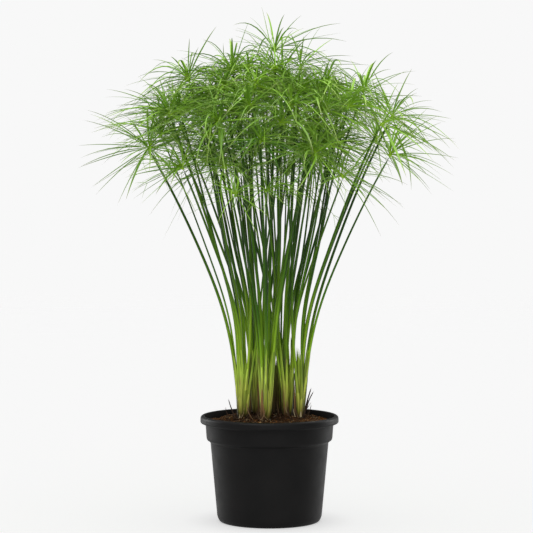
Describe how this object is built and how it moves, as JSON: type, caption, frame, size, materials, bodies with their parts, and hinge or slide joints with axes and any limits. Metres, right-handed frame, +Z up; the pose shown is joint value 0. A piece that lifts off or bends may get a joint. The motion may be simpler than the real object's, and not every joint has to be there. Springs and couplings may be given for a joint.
{
  "type": "potted haspan flatsedge",
  "caption": "Dwarf-papyrus-like sedge in a round black nursery pot: slender leafless stems fan out of the peat, each ending in a spray of narrow bracts.",
  "frame": {"origin": "centre of the pot's flat foot, on the surface that it stands on", "axes": "+Z up along the pot's axis, -Y the side that the picture shows, +X to the viewer's right"},
  "size_m": [0.5144, 0.434, 0.6985],
  "materials": {
    "pot_plastic": "matte",
    "peat": "matte",
    "sheath": "satin",
    "culm": "satin",
    "bract": "satin"
  },
  "bodies": {
    "root": {"pot": "pot_plastic", "soil": "peat", "tuft_01": "sheath", "tuft_02": "sheath", "tuft_03": "sheath", "tuft_04": "sheath", "tuft_05": "sheath", "tuft_06": "sheath", "stem_01": "culm", "stem_02": "culm", "stem_03": "culm", "stem_04": "culm", "stem_05": "culm", "stem_06": "culm", "stem_07": "culm", "stem_08": "culm", "stem_09": "culm", "stem_10": "culm", "stem_11": "culm", "stem_12": "culm", "stem_13": "culm", "stem_14": "culm", "stem_15": "culm", "stem_16": "culm", "stem_17": "culm", "stem_18": "culm", "stem_19": "culm", "stem_20": "culm", "stem_21": "culm", "stem_22": "culm", "stem_23": "culm", "stem_24": "culm", "stem_25": "culm", "stem_26": "culm", "umbel_01": "bract", "umbel_02": "bract", "umbel_03": "bract", "umbel_04": "bract", "umbel_05": "bract", "umbel_06": "bract", "umbel_07": "bract", "umbel_08": "bract", "umbel_09": "bract", "umbel_10": "bract", "umbel_11": "bract", "umbel_12": "bract", "umbel_13": "bract", "umbel_14": "bract", "umbel_15": "bract", "umbel_16": "bract", "umbel_17": "bract", "umbel_18": "bract", "umbel_19": "bract", "umbel_20": "bract", "umbel_21": "bract", "umbel_22": "bract", "umbel_23": "bract", "umbel_24": "bract", "umbel_25": "bract", "umbel_26": "bract"}
  },
  "joints": []
}
